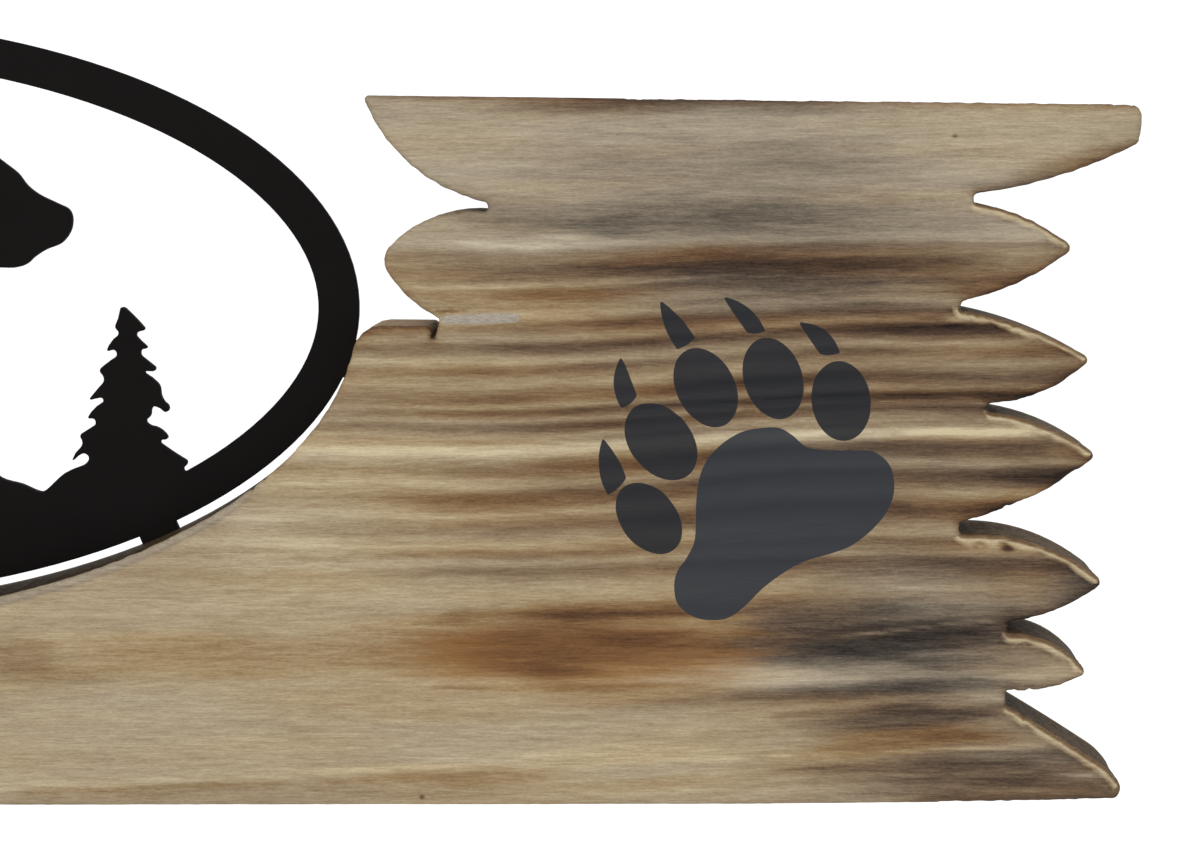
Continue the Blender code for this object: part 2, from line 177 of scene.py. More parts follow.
def to_edge(points, finder):
    """How far each point is from the edge, and the (u, v) that the edge faces there."""
    gaps, facing = [], []
    for u, v in points:
        _, normal, _, gap = finder.find_nearest((u, 0, v))
        gaps.append(gap)
        facing.append((normal.x, normal.z))
    return np.array(gaps), np.array(facing)


# %% [markdown]
# A flat face with a rounded rim needs fine triangles near its outline, and on carved wood also fine
# ones inside. Delaunay triangulation joins any set of points into triangles that are as little
# slim as they can be, and it keeps the outline's own edges. It works in the flat. Each point gets
# its height afterwards.


# %% Fill an outline with triangles
def ring_points(loops, insets, finder, room=0.9):
    """Points that follow the outline at each inset, left out where another edge comes closer."""
    rings = []
    for inset in insets:
        for loop in loops:
            ring = loop + into_material(loop) * inset
            gaps, _ = to_edge(ring, finder)
            keep = gaps > room * inset
            rings.append(ring[keep])
    rings = np.concatenate(rings)
    return rings[inside(rings, loops)]


def filled(loops, more, lines=()):
    """Points and triangles of the area in the loops, through more points and along lines."""
    points, edges = [], []
    for loop in list(loops) + list(lines):
        first, count = len(points), len(loop)
        points += [Vector(p) for p in loop]
        edges += [(first + i, first + (i + 1) % count) for i in range(count)]
    points += [Vector(p) for p in more]
    all_triangles, nearest = 0, 1e-5
    flat_points, _, triangles, *_ = delaunay_2d_cdt(points, edges, [], all_triangles, nearest)
    flat_points, triangles = np.array(flat_points), np.array(triangles)
    return flat_points, triangles[inside(flat_points[triangles].mean(axis=1), loops)]


def mesh_piece(name, verts, faces, sharp=35):
    """An object from points in millimetres, smooth but for its sharp edges."""
    mesh = bpy.data.meshes.new(name)
    mesh.from_pydata((np.array(verts) * MM).tolist(), [], [tuple(map(int, f)) for f in faces])
    mesh.validate()
    mesh.shade_smooth()
    mesh.set_sharp_from_angle(angle=math.radians(sharp))
    piece = bpy.data.objects.new(name, mesh)
    bpy.context.scene.collection.objects.link(piece)
    return piece


# %% [markdown]
# The steel is a sheet 2 mm thick. On the real piece the black coat rounds every cut edge a little,
# and that thin round catches the light. A Bevel modifier would trip over the bear's many narrow
# corners. So the front is filled once with four close rings along the rim, its height follows a
# quarter circle, and the same triangles, turned over, make the back.

# %% The steel oval
COAT_ROUND = 0.3
STEEL_STEP = 2.0
STEEL_INSETS = (0.04, 0.14, 0.3, 0.5)
SHEET = STEEL_HIGH[1] - STEEL_LOW[1]
MIDDLE = (STEEL_HIGH[1] + STEEL_LOW[1]) / 2


def quarter_round(gap, radius):
    """How far a rounded rim has fallen back at this distance from the outline."""
    left = np.clip(radius - gap, 0, radius)
    return radius - np.sqrt(radius**2 - left**2)


steel_slice = sliced("steel_oval", MIDDLE)
steel_loops = [with_points(flat(loop), STEEL_STEP) for loop in rim_loops(steel_slice)]
steel_slice.free()
steel_finder = edge_finder(steel_loops)
steel_rings = ring_points(steel_loops, STEEL_INSETS, steel_finder)
steel_flat, steel_triangles = filled(steel_loops, steel_rings)
print(f"steel: {len(steel_loops)} loops, {len(steel_flat)} points, {len(steel_triangles)} triangles")


# %% Both faces of the sheet and the wall between them
def sheet_piece(name, flat_points, triangles, loops, finder):
    """A closed sheet with rounded rims."""
    gaps, _ = to_edge(flat_points, finder)
    rim_count = sum(len(loop) for loop in loops)
    gaps[:rim_count] = 0
    fall = SHEET / 2 - quarter_round(gaps, COAT_ROUND)
    front = np.column_stack([flat_points[:, 0], MIDDLE - fall, flat_points[:, 1]])
    back = np.column_stack([flat_points[:, 0], MIDDLE + fall, flat_points[:, 1]])
    faces = list(triangles) + list(triangles[:, ::-1] + len(front))
    first = 0
    for loop in loops:
        for i in range(len(loop)):
            a, b = first + i, first + (i + 1) % len(loop)
            faces.append((a + len(front), b + len(front), b, a))
        first += len(loop)
    return mesh_piece(name, np.concatenate([front, back]), faces)


steel = sheet_piece("black_steel_oval", steel_flat, steel_triangles, steel_loops, steel_finder)
print("steel piece:", len(steel.data.polygons), "faces")

# %% [markdown]
# The board is pine with the soft early wood brushed and burnt away, so the hard late wood stands up
# as long ribs. They lie level near the oval, climb a few millimetres and lie level again towards
# the splinters. Each rib is described by the dark furrow above it: its height where the ribs start
# and where they end, how wide it is on either side, and how deep. The furrows fade out towards the
# oval, as they do on the board.

# %% The furrows between the ribs
# Height at the near end, height at the far end, half width above and below, depth, all in mm.
FURROWS_RIGHT = (
    (152.3, 155.6, 1.3, 3.6, 0.62), (147.2, 150.6, 2, 4.2, 0.74),
    (139.5, 145, 1.6, 2.6, 0.65), (134.6, 139.6, 1.2, 1.6, 0.4),
    (127.8, 134.1, 1.9, 2.2, 0.85), (120.9, 127.8, 1.7, 2.2, 1),
    (114, 120.6, 1.6, 2.2, 0.8), (104.7, 112, 2.4, 1.8, 1),
    (99.7, 106, 1.4, 1.3, 0.95), (95.1, 101.7, 1.3, 1.6, 1),
    (90.4, 96.6, 0.9, 0.9, 0.35), (81.2, 87.8, 2.4, 2.3, 1),
    (71.6, 79.6, 2.4, 2.6, 1.05), (61.4, 68.7, 3, 2.4, 0.95),
    (53.1, 57.4, 1.6, 1.7, 0.6), (47.2, 50.6, 1.8, 2.4, 0.8),
)
RIBS_START, RIBS_CLIMB, RIBS_END = 165.0, 246.0, 381.0
FULL_DEPTH_AT = 285.0
# How much wider than each furrow its darkening reaches; the darkening is scorch, and painted shade
# under the crests.
SCORCH_AND_SHADE_WIDER = 1.35

# Length along the grain and height across it, in mm, and the seed of each random field.
FIELDS = {
    "furrow sway": (34, 1, 100),
    "furrow depth": (47, 1, 200),
    "low waves": (90, 3.2, 11),
    "coarse saw marks": (3.1, 6.0, 31),
    "fine saw marks": (1.3, 2.1, 32),
    "chips": (2.6, 1, 41),
    "patch ends": (25, 1.7, 51),
    "patch sides": (18, 2.3, 52),
    "line sway": (12, 1, 53),
    "long streaks": (40, 2.4, 61),
    "short streaks": (17, 1.3, 62),
    "warm streaks": (60, 5.0, 63),
    "sanded and lit": (4, 3, 71),
}
FIELD_SIZE = 61


def smooth_step(value, low, high):
    """0 below low, 1 above high and a soft curve between."""
    t = np.clip((value - low) / (high - low), 0, 1)
    return t * t * (3 - 2 * t)


def between(value, rise, fall):
    """1 between two soft steps, 0 before the rise and after the fall."""
    return smooth_step(value, *rise) * (1 - smooth_step(value, *fall))


def wander(u, v, field, number=0):
    """A soft random field from -1 to 1. Each number gives another one of the same kind."""
    along, across, seed = FIELDS[field]
    size = FIELD_SIZE
    table = np.random.default_rng(seed + number).uniform(-1, 1, (size, size))
    i, j = u / along, v / across
    i0, j0 = np.floor(i).astype(int), np.floor(j).astype(int)
    s, t = smooth_step(i - i0, 0, 1), smooth_step(j - j0, 0, 1)
    rows = [
        table[i0 % size, (j0 + dj) % size] * (1 - s) + table[(i0 + 1) % size, (j0 + dj) % size] * s
        for dj in (0, 1)
    ]
    return rows[0] * (1 - t) + rows[1] * t


# The far end's furrows: a seed, the heights between which they lie, and the range of each measure.
LEFT_SEED = 7
LEFT_TOP, LEFT_BOTTOM = 151.0, 46
LEFT_WIDTHS = (1.3, 2.4)
LEFT_RISES = (3.5, 6.5)
LEFT_DEPTHS = (0.45, 1.05)
LEFT_SPACINGS = (1.3, 2.1)


def left_furrows():
    """Furrows for the end that mirrors the drawn one, spaced by chance in the same range."""
    chance = np.random.default_rng(LEFT_SEED)
    furrows, height = [], LEFT_TOP
    while height > LEFT_BOTTOM:
        above, below = chance.uniform(*LEFT_WIDTHS, 2)
        far = height + chance.uniform(*LEFT_RISES)
        furrows.append((height, far, above, below, chance.uniform(*LEFT_DEPTHS)))
        height -= chance.uniform(*LEFT_SPACINGS) * (above + below)
    return furrows


FURROWS_LEFT = left_furrows()
CLIMB = 6.4
print(len(FURROWS_RIGHT), "furrows at the right,", len(FURROWS_LEFT), "at the left")


# %% How deep the face is carved
FURROW_SWAY = 0.5
DEPTH_CHANGE = 0.3
# At the far end the darkening reaches further down under each crest: painted shade as well as scorch.
SCORCH_AND_SHADE_WIDENS = (300, 400)
SCORCH_AND_SHADE_FAR_WIDER = 0.3
SCORCH_AND_SHADE_BEFORE_RIBS = 0.25
WAVE_HEIGHT = 0.1


def climb(u):
    """0 near the oval, 1 at the splinters: how far the ribs have risen."""
    return smooth_step(np.abs(u), RIBS_CLIMB, RIBS_END)


def furrows_at(u, v):
    """Depth of the furrows in millimetres, and how dark the wood is in and beside them: scorch, and
    painted shade under the crests.
    """
    strength = smooth_step(np.abs(u), RIBS_START, FULL_DEPTH_AT)
    deep, scorched_and_shaded = np.zeros_like(u), np.zeros_like(u)
    far_end = smooth_step(np.abs(u), *SCORCH_AND_SHADE_WIDENS)
    for side, furrows in ((1, FURROWS_RIGHT), (-1, FURROWS_LEFT)):
        here = side * u > 0
        for number, (near, far, above, below, depth) in enumerate(furrows):
            sway = FURROW_SWAY * wander(u, 0 * u, "furrow sway", number)
            height = v - (near + (far - near) * climb(u) + sway)
            width = np.where(height > 0, above, below)
            change = 1 + DEPTH_CHANGE * wander(u, 0 * u, "furrow depth", number)
            deep = np.maximum(deep, here * change * depth * np.exp(-((height / width) ** 2)))
            reach = width * (SCORCH_AND_SHADE_WIDER + SCORCH_AND_SHADE_FAR_WIDER * far_end * (height < 0))
            scorched_and_shaded = np.maximum(scorched_and_shaded, here * change * depth * np.exp(-((height / reach) ** 2)))
    return deep * strength, scorched_and_shaded * (SCORCH_AND_SHADE_BEFORE_RIBS + (1 - SCORCH_AND_SHADE_BEFORE_RIBS) * strength)


def low_waves(u, v):
    """The faint hollows that brushing leaves on the smooth parts."""
    return WAVE_HEIGHT * (1 + wander(u, v - CLIMB * climb(u), "low waves"))


# %% [markdown]
# The paw print is painted on, so it has no thickness, but its edge is crisp. A mask worked out in
# the shader would need a lot of maths for its pad. Instead the mesh gets its edges exactly along
# the print, and every face inside it is marked as painted. The toes are tilted ellipses, a claw is
# two arcs that meet in a point, and the pad is one smooth closed curve through a few points.


# %% Draw the paw print
def toe(centre, long_half, short_half, lean):
    """A tilted ellipse. Its long axis leans to the left at the top."""
    turn = np.linspace(0, 2 * np.pi, 60, endpoint=False)
    lean = math.radians(lean)
    up = np.array([-math.sin(lean), math.cos(lean)])
    side = np.array([math.cos(lean), math.sin(lean)])
    return (
        np.array(centre)
        + np.outer(long_half * np.sin(turn), up)
        + np.outer(short_half * np.cos(turn), side)
    )


def bow(start, end, swell, count=14):
    """Points from start up to end, bulging to the right of the way there by swell."""
    start, end = np.array(start), np.array(end)
    way = end - start
    side = np.array([way[1], -way[0]]) / np.linalg.norm(way)
    t = np.linspace(0, 1, count, endpoint=False)
    return start + np.outer(t, way) + np.outer(4 * swell * t * (1 - t), side)


def claw(tip, left_foot, right_foot, left_swell, right_swell):
    """A claw with a round tip, from its foot up the right side and down the left."""
    tip, left_foot, right_foot = np.array(tip), np.array(left_foot), np.array(right_foot)
    way = tip - (left_foot + right_foot) / 2
    across = np.array([way[1], -way[0]]) / np.linalg.norm(way) * CLAW_TIP
    return np.concatenate([
        bow(left_foot, right_foot, 0.6, 8),
        bow(right_foot, tip + across, right_swell),
        bow(tip + across, tip - across, CLAW_TIP * 0.9, 5),
        bow(tip - across, left_foot, left_swell),
    ])


def smooth_loop(knots, count=14):
    """A closed curve through the knots, by the rule of Catmull and Rom."""
    knots = np.array(knots)
    t = np.linspace(0, 1, count, endpoint=False)[:, None]
    stretches = []
    for i in range(len(knots)):
        a, b, c, d = (knots[(i + k) % len(knots)] for k in (-1, 0, 1, 2))
        stretches.append(
            b + t * ((c - a) + t * ((2 * a - 5 * b + 4 * c - d) + t * (3 * (b - c) + d - a))) / 2
        )
    return np.concatenate(stretches)


PAW_TOES = (
    ((298.4, 65.1), 13.3, 9.2, 39),
    ((302.4, 90.5), 14.3, 10.2, 40.4),
    ((317.2, 108.4), 13.9, 9.65, 27.6),
    ((339.5, 111.4), 13.8, 9.67, 18.2),
    ((362, 104), 13.25, 9.78, 7.6),
)
CLAW_TIP = 0.55
PAW_CLAWS = (
    ((283.3, 90.8), (284.8, 72.7), (290.9, 78.5), 1.9, 0.7),
    ((289.1, 117.6), (289.3, 101.5), (294.4, 105.6), 2.2, 0.2),
    ((302.6, 136.3), (307.7, 121.1), (313.7, 124.8), 1.2, 0.8),
    ((323.9, 137.8), (331, 126.5), (336.9, 127.1), 0.1, 2.1),
    ((348.8, 129.6), (355.1, 119.4), (361.7, 119.9), 0.1, 2.6),
)
PAW_PAD = (
    (337.9, 95.2), (328.8, 93.6), (321.2, 88.6), (315.9, 81), (314.1, 71.2), (313.6, 58.3),
    (310.9, 52.2), (307.5, 46.9), (306.8, 41.6), (308.3, 36.3), (313.6, 32.5), (319.7, 31.5),
    (325, 32.5), (330.3, 36.3), (336.4, 42.4), (343.9, 47.7), (351.5, 51.4), (359.1, 53.7),
    (366.7, 56.8), (374.3, 63.6), (378.5, 69.7), (379.6, 77.3), (377.7, 83.3), (372.8, 87.1),
    (366.7, 87.5), (357.6, 87.5), (350.8, 88.6), (346.2, 92.4), (342.4, 94.7),
)
paw_loops = [toe(*one) for one in PAW_TOES] + [claw(*one) for one in PAW_CLAWS]
paw_loops.append(smooth_loop(PAW_PAD, 5))
print(len(paw_loops), "shapes in the print,", sum(map(len, paw_loops)), "points")

# %% [markdown]
# The board's last few millimetres stay as the node has them, with the four pockets for the steel's
# lugs. It is sliced just in front of these. From that rim the sawn edges are built forwards in rows,
# each pushed in a little where the saw bit, and the front is filled from their last row.

# %% The board's rim
POCKETS_REACH = 2.5
LEVEL_OF_POCKETS = BACK - POCKETS_REACH
RIM_STEP = 1.25
EDGE_ROUND = 2.2

tray = sliced("pine_board", LEVEL_OF_POCKETS)
for cuts in range(1, int((BOARD_HIGH[0] - BOARD_LOW[0]) / RIM_STEP) + 2):
    long_edges = [
        e for e in tray.edges
        if e.is_boundary and math.ceil(e.calc_length() / RIM_STEP) == cuts + 1
    ]
    if long_edges:
        bmesh.ops.subdivide_edges(tray, edges=long_edges, cuts=cuts)
(board_rim,) = rim_loops(tray)
board_outline = flat(board_rim)
print("board rim:", len(board_outline), "points,", len(tray.faces), "faces behind it")


# %% How the saw and the sander left the edge
# How deep the marks bite into a planed and into a sawn edge, in millimetres.
COARSE_BITES = (0.1, 0.3)
FINE_BITES = (0.05, 0.22)
PLANED_WITHIN = 1
CHIP_DEPTH = 0.45
CHIPS_ABOVE = (0.78, 1.0)


def way_along(outline):
    """How far each point lies along the outline from its first one."""
    return np.concatenate([[0], np.cumsum(np.linalg.norm(np.diff(outline, axis=0), axis=1))])


def planed(outline):
    """Whether each point is on the board's long edges, which a planer made and not a saw."""
    v = outline[:, 1]
    return (v > BOARD_HIGH[2] - PLANED_WITHIN) | (v < BOARD_LOW[2] + PLANED_WITHIN)


def saw_marks(outline, y):
    """How far each point of the edge is pushed in at this depth, in millimetres."""
    run = way_along(outline)
    level = np.full_like(run, y)
    coarse = 0.5 + 0.5 * wander(run, level, "coarse saw marks")
    fine = 0.5 + 0.5 * wander(run, level, "fine saw marks")
    smooth = planed(outline)
    return np.where(smooth, *COARSE_BITES) * coarse + np.where(smooth, *FINE_BITES) * fine


def chips(outline):
    """Small bites out of the front corner of the sawn ends, here and there."""
    run = way_along(outline)
    return CHIP_DEPTH * ~planed(outline) * smooth_step(wander(run, 0 * run, "chips"), *CHIPS_ABOVE)


inward = into_material(board_outline)
bitten = saw_marks(board_outline, FRONT) + chips(board_outline)
front_outline = board_outline + inward * bitten[:, None]
board_finder = edge_finder([front_outline])
print("front outline moved in by up to", round(float(bitten.max()), 2), "mm")

# %% [markdown]
# Inside the rim the points lie in rows a millimetre apart, and the rows climb with the ribs. So each
# furrow runs along a row and its sides stay clean. The triangles also keep their edges along the paint
# and along the smear of pale filler. Points too near these or the rim are left out, because they would
# only make slivers. Each knot is smaller than the rows can show, so it has rings of its own.

# %% Points over the face
GRID_ALONG, GRID_ACROSS = 2.6, 0.98
GRID_TO_RIM = 0.5
GRID_TO_CRISP_EDGE = 0.35
RIM_INSETS = (0.18, 0.64, 1.35, 2.2, 3.2)
KNOT_RINGS = (0.1, 0.6, 1.1, 1.7)
KNOT_SIDES = 12

# Middle u and v, half length, half height, change in tone, change in warmth.
KNOTS = (
    (417, 55.3, 2.4, 1.1, 0.6, -0.2),
    (399.6, 191.6, 0.8, 0.6, 0.35, 0),
    (223.4, -26.9, 0.9, 0.7, 0.4, 0),
    (231.5, 133.6, 5.5, 0.35, 0.3, 0.3),
    (401.5, 131.2, 4.6, 1.2, -0.3, -0.1),
    (399, 128.9, 3.4, 0.5, 0.25, 0.2),
)
FILLER = np.array([
    (230.6, 129.4), (238.5, 129.2), (254.4, 129.9), (255.6, 130.8), (255.2, 132.9), (250.0, 133.2),
    (242.0, 132.7), (233.5, 132.5), (229.6, 131.9), (229.5, 130.2),
])

u_values = np.arange(BOARD_LOW[0], BOARD_HIGH[0], GRID_ALONG)
v_values = np.arange(BOARD_LOW[2] - CLIMB, BOARD_HIGH[2], GRID_ACROSS)
grid_u, grid_v = np.meshgrid(u_values, v_values)
grid_v = grid_v + CLIMB * climb(grid_u)
grid = np.column_stack([grid_u.ravel(), grid_v.ravel()])
grid = grid[inside(grid, [front_outline])]
gap_to_rim, _ = to_edge(grid, board_finder)
grid = grid[gap_to_rim > EDGE_ROUND + GRID_TO_RIM]
crisp_loops = [*paw_loops, FILLER]
gap_to_crisp, _ = to_edge(grid, edge_finder(crisp_loops))
grid = grid[gap_to_crisp > GRID_TO_CRISP_EDGE]
rings = ring_points([front_outline], RIM_INSETS, board_finder)
ring = np.linspace(0, 2 * np.pi, KNOT_SIDES, endpoint=False)
knot_points = np.concatenate([
    np.column_stack([u + reach * half_u * np.cos(ring), v + reach * half_v * np.sin(ring)])
    for u, v, half_u, half_v, *_ in KNOTS for reach in KNOT_RINGS
])
face_points = np.concatenate([rings, grid, knot_points])
board_flat, board_triangles = filled([front_outline], face_points, crisp_loops)
print(f"board face: {len(board_flat)} points, {len(board_triangles)} triangles")

# %% [markdown]
# The scorching follows the torch and the grain, and no single noise makes that. So the tone is worked
# out point by point from what can be named: the furrows are dark, the ribs' crests pale, and a list of
# soft patches says where the flame lingered, where the wood is orange with resin, and where it stayed
# pale. Thin lines and knots come on top. All were placed, and their amounts corrected by comparing
# renders with the photograph. Tone 0 is bleached wood and 1 is char. Warmth runs from grey to orange.

# %% Patches of scorch, resin and bleached wood
# From the top of the board down: middle u and v, half length, half height, tilt in mm per mm, change
# in tone, change in warmth.
PATCHES = (
    (310, 203, 60, 4, -0.01, 0.3, 0.1), (420, 202, 90, 3, -0.01, 0.02, 0.2),
    (268, 201, 34, 4.5, 0, 0.12, 0.3), (240, 190, 40, 11, 0, -0.05, 0),
    (320, 187, 60, 16, 0, 0, -0.3), (352, 185, 30, 6, 0, 0.08, -0.1),
    (310, 183, 70, 9, 0, 0.09, 0), (437, 182, 24, 3.6, 0.28, 0.17, 0.3),
    (340, 176, 60, 9, 0, 0.06, 0), (246, 167, 22, 5, 0, 0.08, 0),
    (342, 166, 26, 7.5, 0, 0.07, -0.1), (350, 165, 85, 6, 0, 0.13, -0.2),
    (444, 165, 12, 6, 0, 0.08, 0.2), (305, 164, 60, 9, 0, 0.14, -0.1),
    (262, 162, 36, 4, 0, 0.07, 0.1), (390, 162, 34, 4, 0, 0.08, 0),
    (300, 162, 50, 3.5, 0, 0.08, 0), (252, 155, 30, 4, 0, -0.08, 0),
    (270, 154, 34, 3.5, 0, -0.14, -0.3), (390, 154, 22, 3.5, 0, -0.1, 0),
    (375, 153.5, 30, 3, 0, -0.1, 0), (330, 150, 75, 5, 0.03, 0.24, 0.1),
    (428, 150, 28, 4.5, 0, -0.28, 0), (290, 146, 52, 5, 0, 0, -0.4),
    (345, 144, 46, 4.6, 0, 0.23, -0.5), (268, 136, 26, 6, 0, 0.03, 0.3),
    (335, 136, 44, 4, 0, 0.12, -0.4), (398, 136, 20, 5, 0, -0.12, -0.1),
    (230, 129, 24, 4, 0, -0.08, 0), (310, 129, 30, 3.5, 0, 0.12, 0),
    (250, 129, 36, 4.2, 0, -0.15, 0), (401, 121, 28, 2.6, 0.04, -0.14, 0),
    (243, 117, 40, 8, 0, -0.09, 0), (414, 117, 26, 8, 0, -0.11, 0),
    (403, 93.6, 24, 1.8, 0.01, -0.18, 0.3), (438, 86.5, 8, 4, 0, -0.14, 0),
    (385, 80, 42, 9, 0, -0.1, -0.1), (424, 79, 16, 3.5, 0, 0.13, 0),
    (428, 71.3, 11, 3.4, 0, -0.28, 0.6), (401, 71.3, 18, 3.2, 0.04, -0.18, 0),
    (203, 67, 46, 24, 0, -0.1, 0.1), (178, 55, 34, 11, 0, -0.07, -0.1),
    (256, 55, 28, 3, 0, -0.08, 0), (424, 55, 22, 4, 0, -0.1, 0.1),
    (375, 47, 32, 7, 0, 0, -0.4), (388, 38, 26, 8, 0, -0.1, -0.2),
    (446, 38, 14, 13, 0, 0.24, -0.5), (330, 36, 60, 4, 0.03, 0.2, 0.1),
    (308, 30, 22, 4, 0, -0.09, 0.2), (269, 30, 52, 7, 0, 0.13, 0.4),
    (308, 29.5, 28, 4, 0, -0.12, 0.1), (300, 28, 30, 6, 0, 0.12, 0.5),
    (372, 27, 52, 9.5, 0.02, 0.46, -0.45), (277, 22, 55, 11, 0, 0.3, 1),
    (352, 21.5, 20, 2.6, 0, 0.1, -0.3), (165, 20, 60, 6.5, 0, 0.1, 0.6),
    (90, 19, 14, 7, 0, 0.16, 0.1), (375, 18, 55, 4.5, 0, 0.11, -0.4),
    (258, 17, 26, 6, 0, 0.12, 0.8), (309, 13.5, 32, 4, 0, -0.06, -0.5),
    (269, 13.5, 16, 4, 0, 0.1, 0), (432, 13.5, 30, 4.2, 0, -0.27, 0.2),
    (100, 13, 24, 5, 0, 0.1, 0), (352, 12.5, 44, 4.2, 0, -0.13, -0.3),
    (366, 8, 56, 3.2, 0.06, 0.4, -0.2), (400, 6, 12, 3.4, 0, -0.12, 0.1),
    (295, 5, 30, 4, 0, 0.09, 0.2), (434, 5, 20, 3.4, 0, -0.26, 0.1),
    (150, 1, 46, 6, 0, 0, -0.3), (383, -0.5, 40, 3.4, 0.08, 0.4, -0.2),
    (381, -8, 34, 4.2, 0.06, 0.22, 0.9), (292, -13, 43, 3, 0.03, -0.08, 0.4),
    (401, -15, 34, 12, 0, -0.11, 0), (215, -17.4, 34, 1.3, 0.03, -0.14, 0.4),
    (404, -19, 48, 8, 0.02, 0.34, -0.1), (442, -19.8, 8.5, 0.9, 0, -0.3, -0.4),
    (242, -20, 30, 3.5, 0, 0.08, 0.2), (165, -26, 90, 3.5, 0.02, 0.12, 0.1),
)

# Start, end, half width, change in tone, change in warmth.
LINES = (
    ((356.6, 25.7), (416.8, 32.3), 0.55, -0.34, 0.1), ((249, -18), (335, -13.7), 0.6, -0.14, 0.2),
    ((335, -13.7), (431, -9.8), 0.6, -0.2, 0.2), ((335, -0.8), (410, 6.2), 1.2, 0.2, -0.1),
    ((335, -6), (413, 1.6), 0.8, -0.14, 0), ((335, -18), (431, -15.2), 0.7, 0.14, 0),
    ((335, -21), (431, -18.6), 0.6, -0.1, 0), ((300, -25.4), (440, -23.6), 0.6, -0.1, 0),
    ((226, 33.4), (330, 33.8), 1.5, 0.17, 0.3), ((84, -25.8), (183, -22.2), 1, 0.12, 0.3),
    ((183, -22.2), (249, -19.2), 0.9, 0.12, 0.3), ((84, -24), (183, -20.2), 0.8, -0.08, 0.1),
    ((214.5, 140.7), (326.9, 144.9), 0.7, -0.12, 0), ((222, 9.2), (250, 9.2), 0.45, 0.22, 0.2),
    ((262, 9), (330, 10), 1.3, 0.1, 0.3), ((330, 93), (381, 93.6), 0.9, -0.1, 0.1),
    ((378, 93.4), (432, 94.4), 0.5, -0.14, 0.3), ((372, 91.2), (430, 91.6), 0.6, 0.12, 0.3),
    ((398, 55.4), (446, 56.3), 0.8, -0.2, 0),
)

RAGGED_ENDS, RAGGED_SIDES = 0.25, 0.2
SOFTNESS = 1.5
LINE_SWAY = 0.3
LINE_ENDS = 9


def patch(u, v, middle_u, middle_v, half_u, half_v, tilt):
    """1 in the middle of a patch, 0 outside, with ragged soft ends along the grain."""
    du = (u - middle_u) / half_u + RAGGED_ENDS * wander(u, v, "patch ends")
    rise = v - middle_v - tilt * (u - middle_u)
    dv = rise / half_v + RAGGED_SIDES * wander(u, v, "patch sides")
    return np.exp(-((du**2 + dv**2) ** SOFTNESS))


def line(u, v, start, end, half_width):
    """1 on a thin line along the grain between two points, 0 beside it."""
    along = np.clip((u - start[0]) / (end[0] - start[0]), 0, 1)
    height = v - (start[1] + (end[1] - start[1]) * along) + LINE_SWAY * wander(u, 0 * u, "line sway")
    ends = between(u, (start[0], start[0] + LINE_ENDS), (end[0] - LINE_ENDS, end[0]))
    return ends * np.exp(-((height / half_width) ** 2))


# %% The tone of the face
# Where the far end begins along the board, and the heights of the smooth upper and lower parts.
FAR_OUT = (300, 430)
UPPER_PART = (152, 158)
LOWER_PART = (44, 56)
MID_TONE, UPPER_TONE, RIBS_TONE = 0.26, 0.04, 0.03
FAR_RIBS_TONE, FAR_LOWER_TONE, FAR_UPPER_TONE = 0.1, 0.22, 0.06
MID_WARMTH, UPPER_GREYER, FAR_GREYER, FAR_LOWER_GREYER = 0.64, 0.42, 0.1, 0.2
RIBS_COARSER, FAR_LOWER_COARSER = 0.9, 1.4
LONG_STREAKS, SHORT_STREAKS, WARM_STREAKS = 0.028, 0.024, 0.3
# How much the furrows' darkening adds to tone and warmth. It is scorch, and painted shade under the
# crests.
SCORCH_AND_SHADE_TONE, SCORCH_AND_SHADE_WARMTH = 0.42, 0.15
PALE_RIB, PALE_RIB_TONE = ((170, 87.6), (430, 87.3), 2.0), 0.2
# The patches come again at the left end, this much further out and lower.
LEFT_SHIFT = (6, 3)


def face_tone(u, v, scorch_and_shade):
    """Tone and warmth of the face, before the fine grain that the shader adds."""
    far = smooth_step(np.abs(u), *FAR_OUT)
    level = v - CLIMB * climb(u)
    upper = smooth_step(v, *UPPER_PART)
    lower = 1 - smooth_step(v, *LOWER_PART)
    ribs = (1 - upper) * (1 - lower)
    tone = MID_TONE + UPPER_TONE * upper + RIBS_TONE * ribs
    tone += far * (FAR_RIBS_TONE * ribs + FAR_LOWER_TONE * lower - FAR_UPPER_TONE * upper)
    warmth = MID_WARMTH - UPPER_GREYER * upper - far * (FAR_GREYER + FAR_LOWER_GREYER * lower)
    coarse = 1 + RIBS_COARSER * ribs + FAR_LOWER_COARSER * far * lower
    tone += coarse * LONG_STREAKS * wander(u, level, "long streaks")
    tone += coarse * SHORT_STREAKS * wander(u, level, "short streaks")
    warmth += WARM_STREAKS * wander(u, level, "warm streaks")
    tone += SCORCH_AND_SHADE_TONE * scorch_and_shade - PALE_RIB_TONE * line(u, level, *PALE_RIB)
    warmth += SCORCH_AND_SHADE_WARMTH * scorch_and_shade
    here, mirrored = (u, v), (-u - LEFT_SHIFT[0], v + LEFT_SHIFT[1])
    spots = [(patch, here, row) for row in PATCHES] + [(patch, mirrored, row) for row in PATCHES]
    spots += [(line, here, row) for row in LINES] + [(knot, here, row) for row in KNOTS]
    for form, at, (*place, darker, warmer) in spots:
        mask = form(*at, *place)
        tone += darker * mask
        warmth += warmer * mask
    return tone, warmth


def knot(u, v, middle_u, middle_v, half_u, half_v):
    """1 in the middle of a knot, 0 outside."""
    return np.exp(-(((u - middle_u) / half_u) ** 2 + ((v - middle_v) / half_v) ** 2) ** SOFTNESS)


